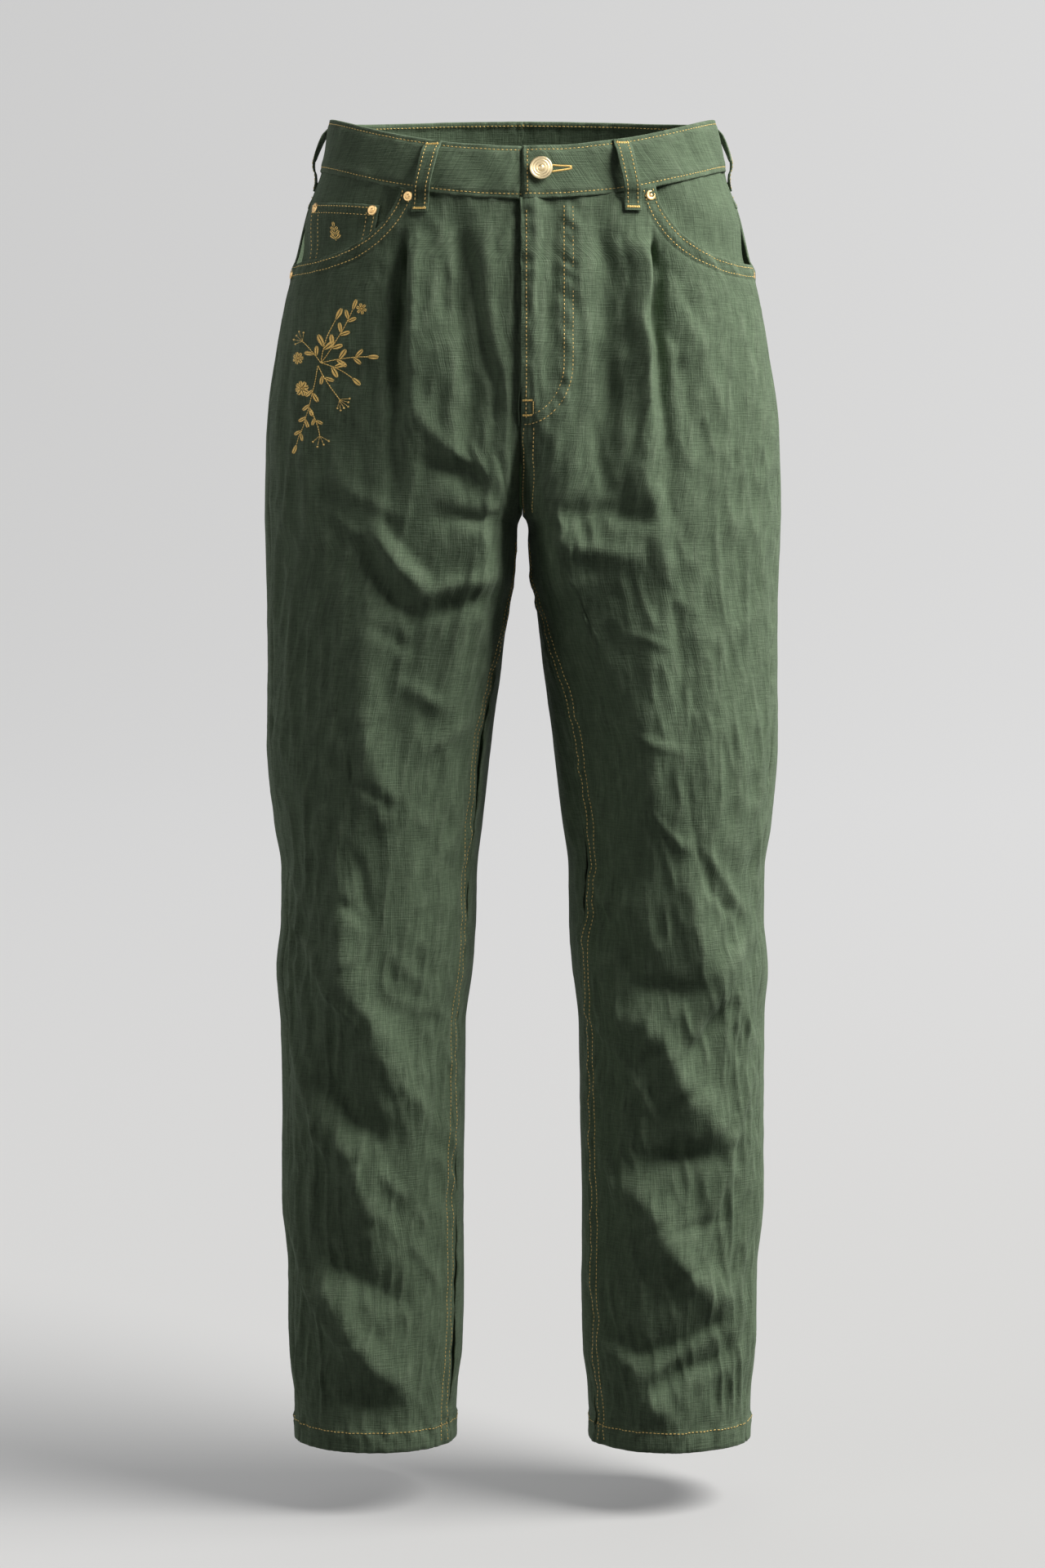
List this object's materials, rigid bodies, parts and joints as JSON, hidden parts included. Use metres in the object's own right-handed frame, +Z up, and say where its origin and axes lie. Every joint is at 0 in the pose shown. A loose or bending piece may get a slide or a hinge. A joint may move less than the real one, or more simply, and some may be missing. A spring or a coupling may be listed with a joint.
{
  "type": "jeans",
  "caption": "Dark green straight jeans with a pleat in each front, five pockets, gold stitching and a sewn leaf sprig, filled out as if worn.",
  "frame": {"origin": "centre of the waist opening, level with the waistband's top edge at the hips", "axes": "+Z up, the garment's front towards -Y, the wearer's left towards +X"},
  "size_m": [0.401, 0.2539, 1.0402],
  "materials": {
    "denim": "dark green linen-like denim, matt with a soft sheen",
    "brass": "satin antique brass",
    "thread": "gold topstitching and embroidery thread"
  },
  "bodies": {
    "root": {"front_left": "denim", "back_left": "denim", "yoke_left": "denim", "pocket_facing_left": "denim", "back_pocket_left": "denim", "front_right": "denim", "back_right": "denim", "yoke_right": "denim", "pocket_facing_right": "denim", "back_pocket_right": "denim", "waistband": "denim", "fly_shield": "denim", "coin_pocket": "denim", "belt_loop_front_left": "denim", "belt_loop_front_right": "denim", "belt_loop_side_left": "denim", "belt_loop_side_right": "denim", "belt_loop_back": "denim", "rivet_mouth_top_left": "brass", "rivet_mouth_top_right": "brass", "rivet_mouth_side_left": "brass", "rivet_mouth_side_right": "brass", "rivet_coin_inner": "brass", "rivet_coin_outer": "brass", "waist_button": "brass"}
  },
  "joints": []
}
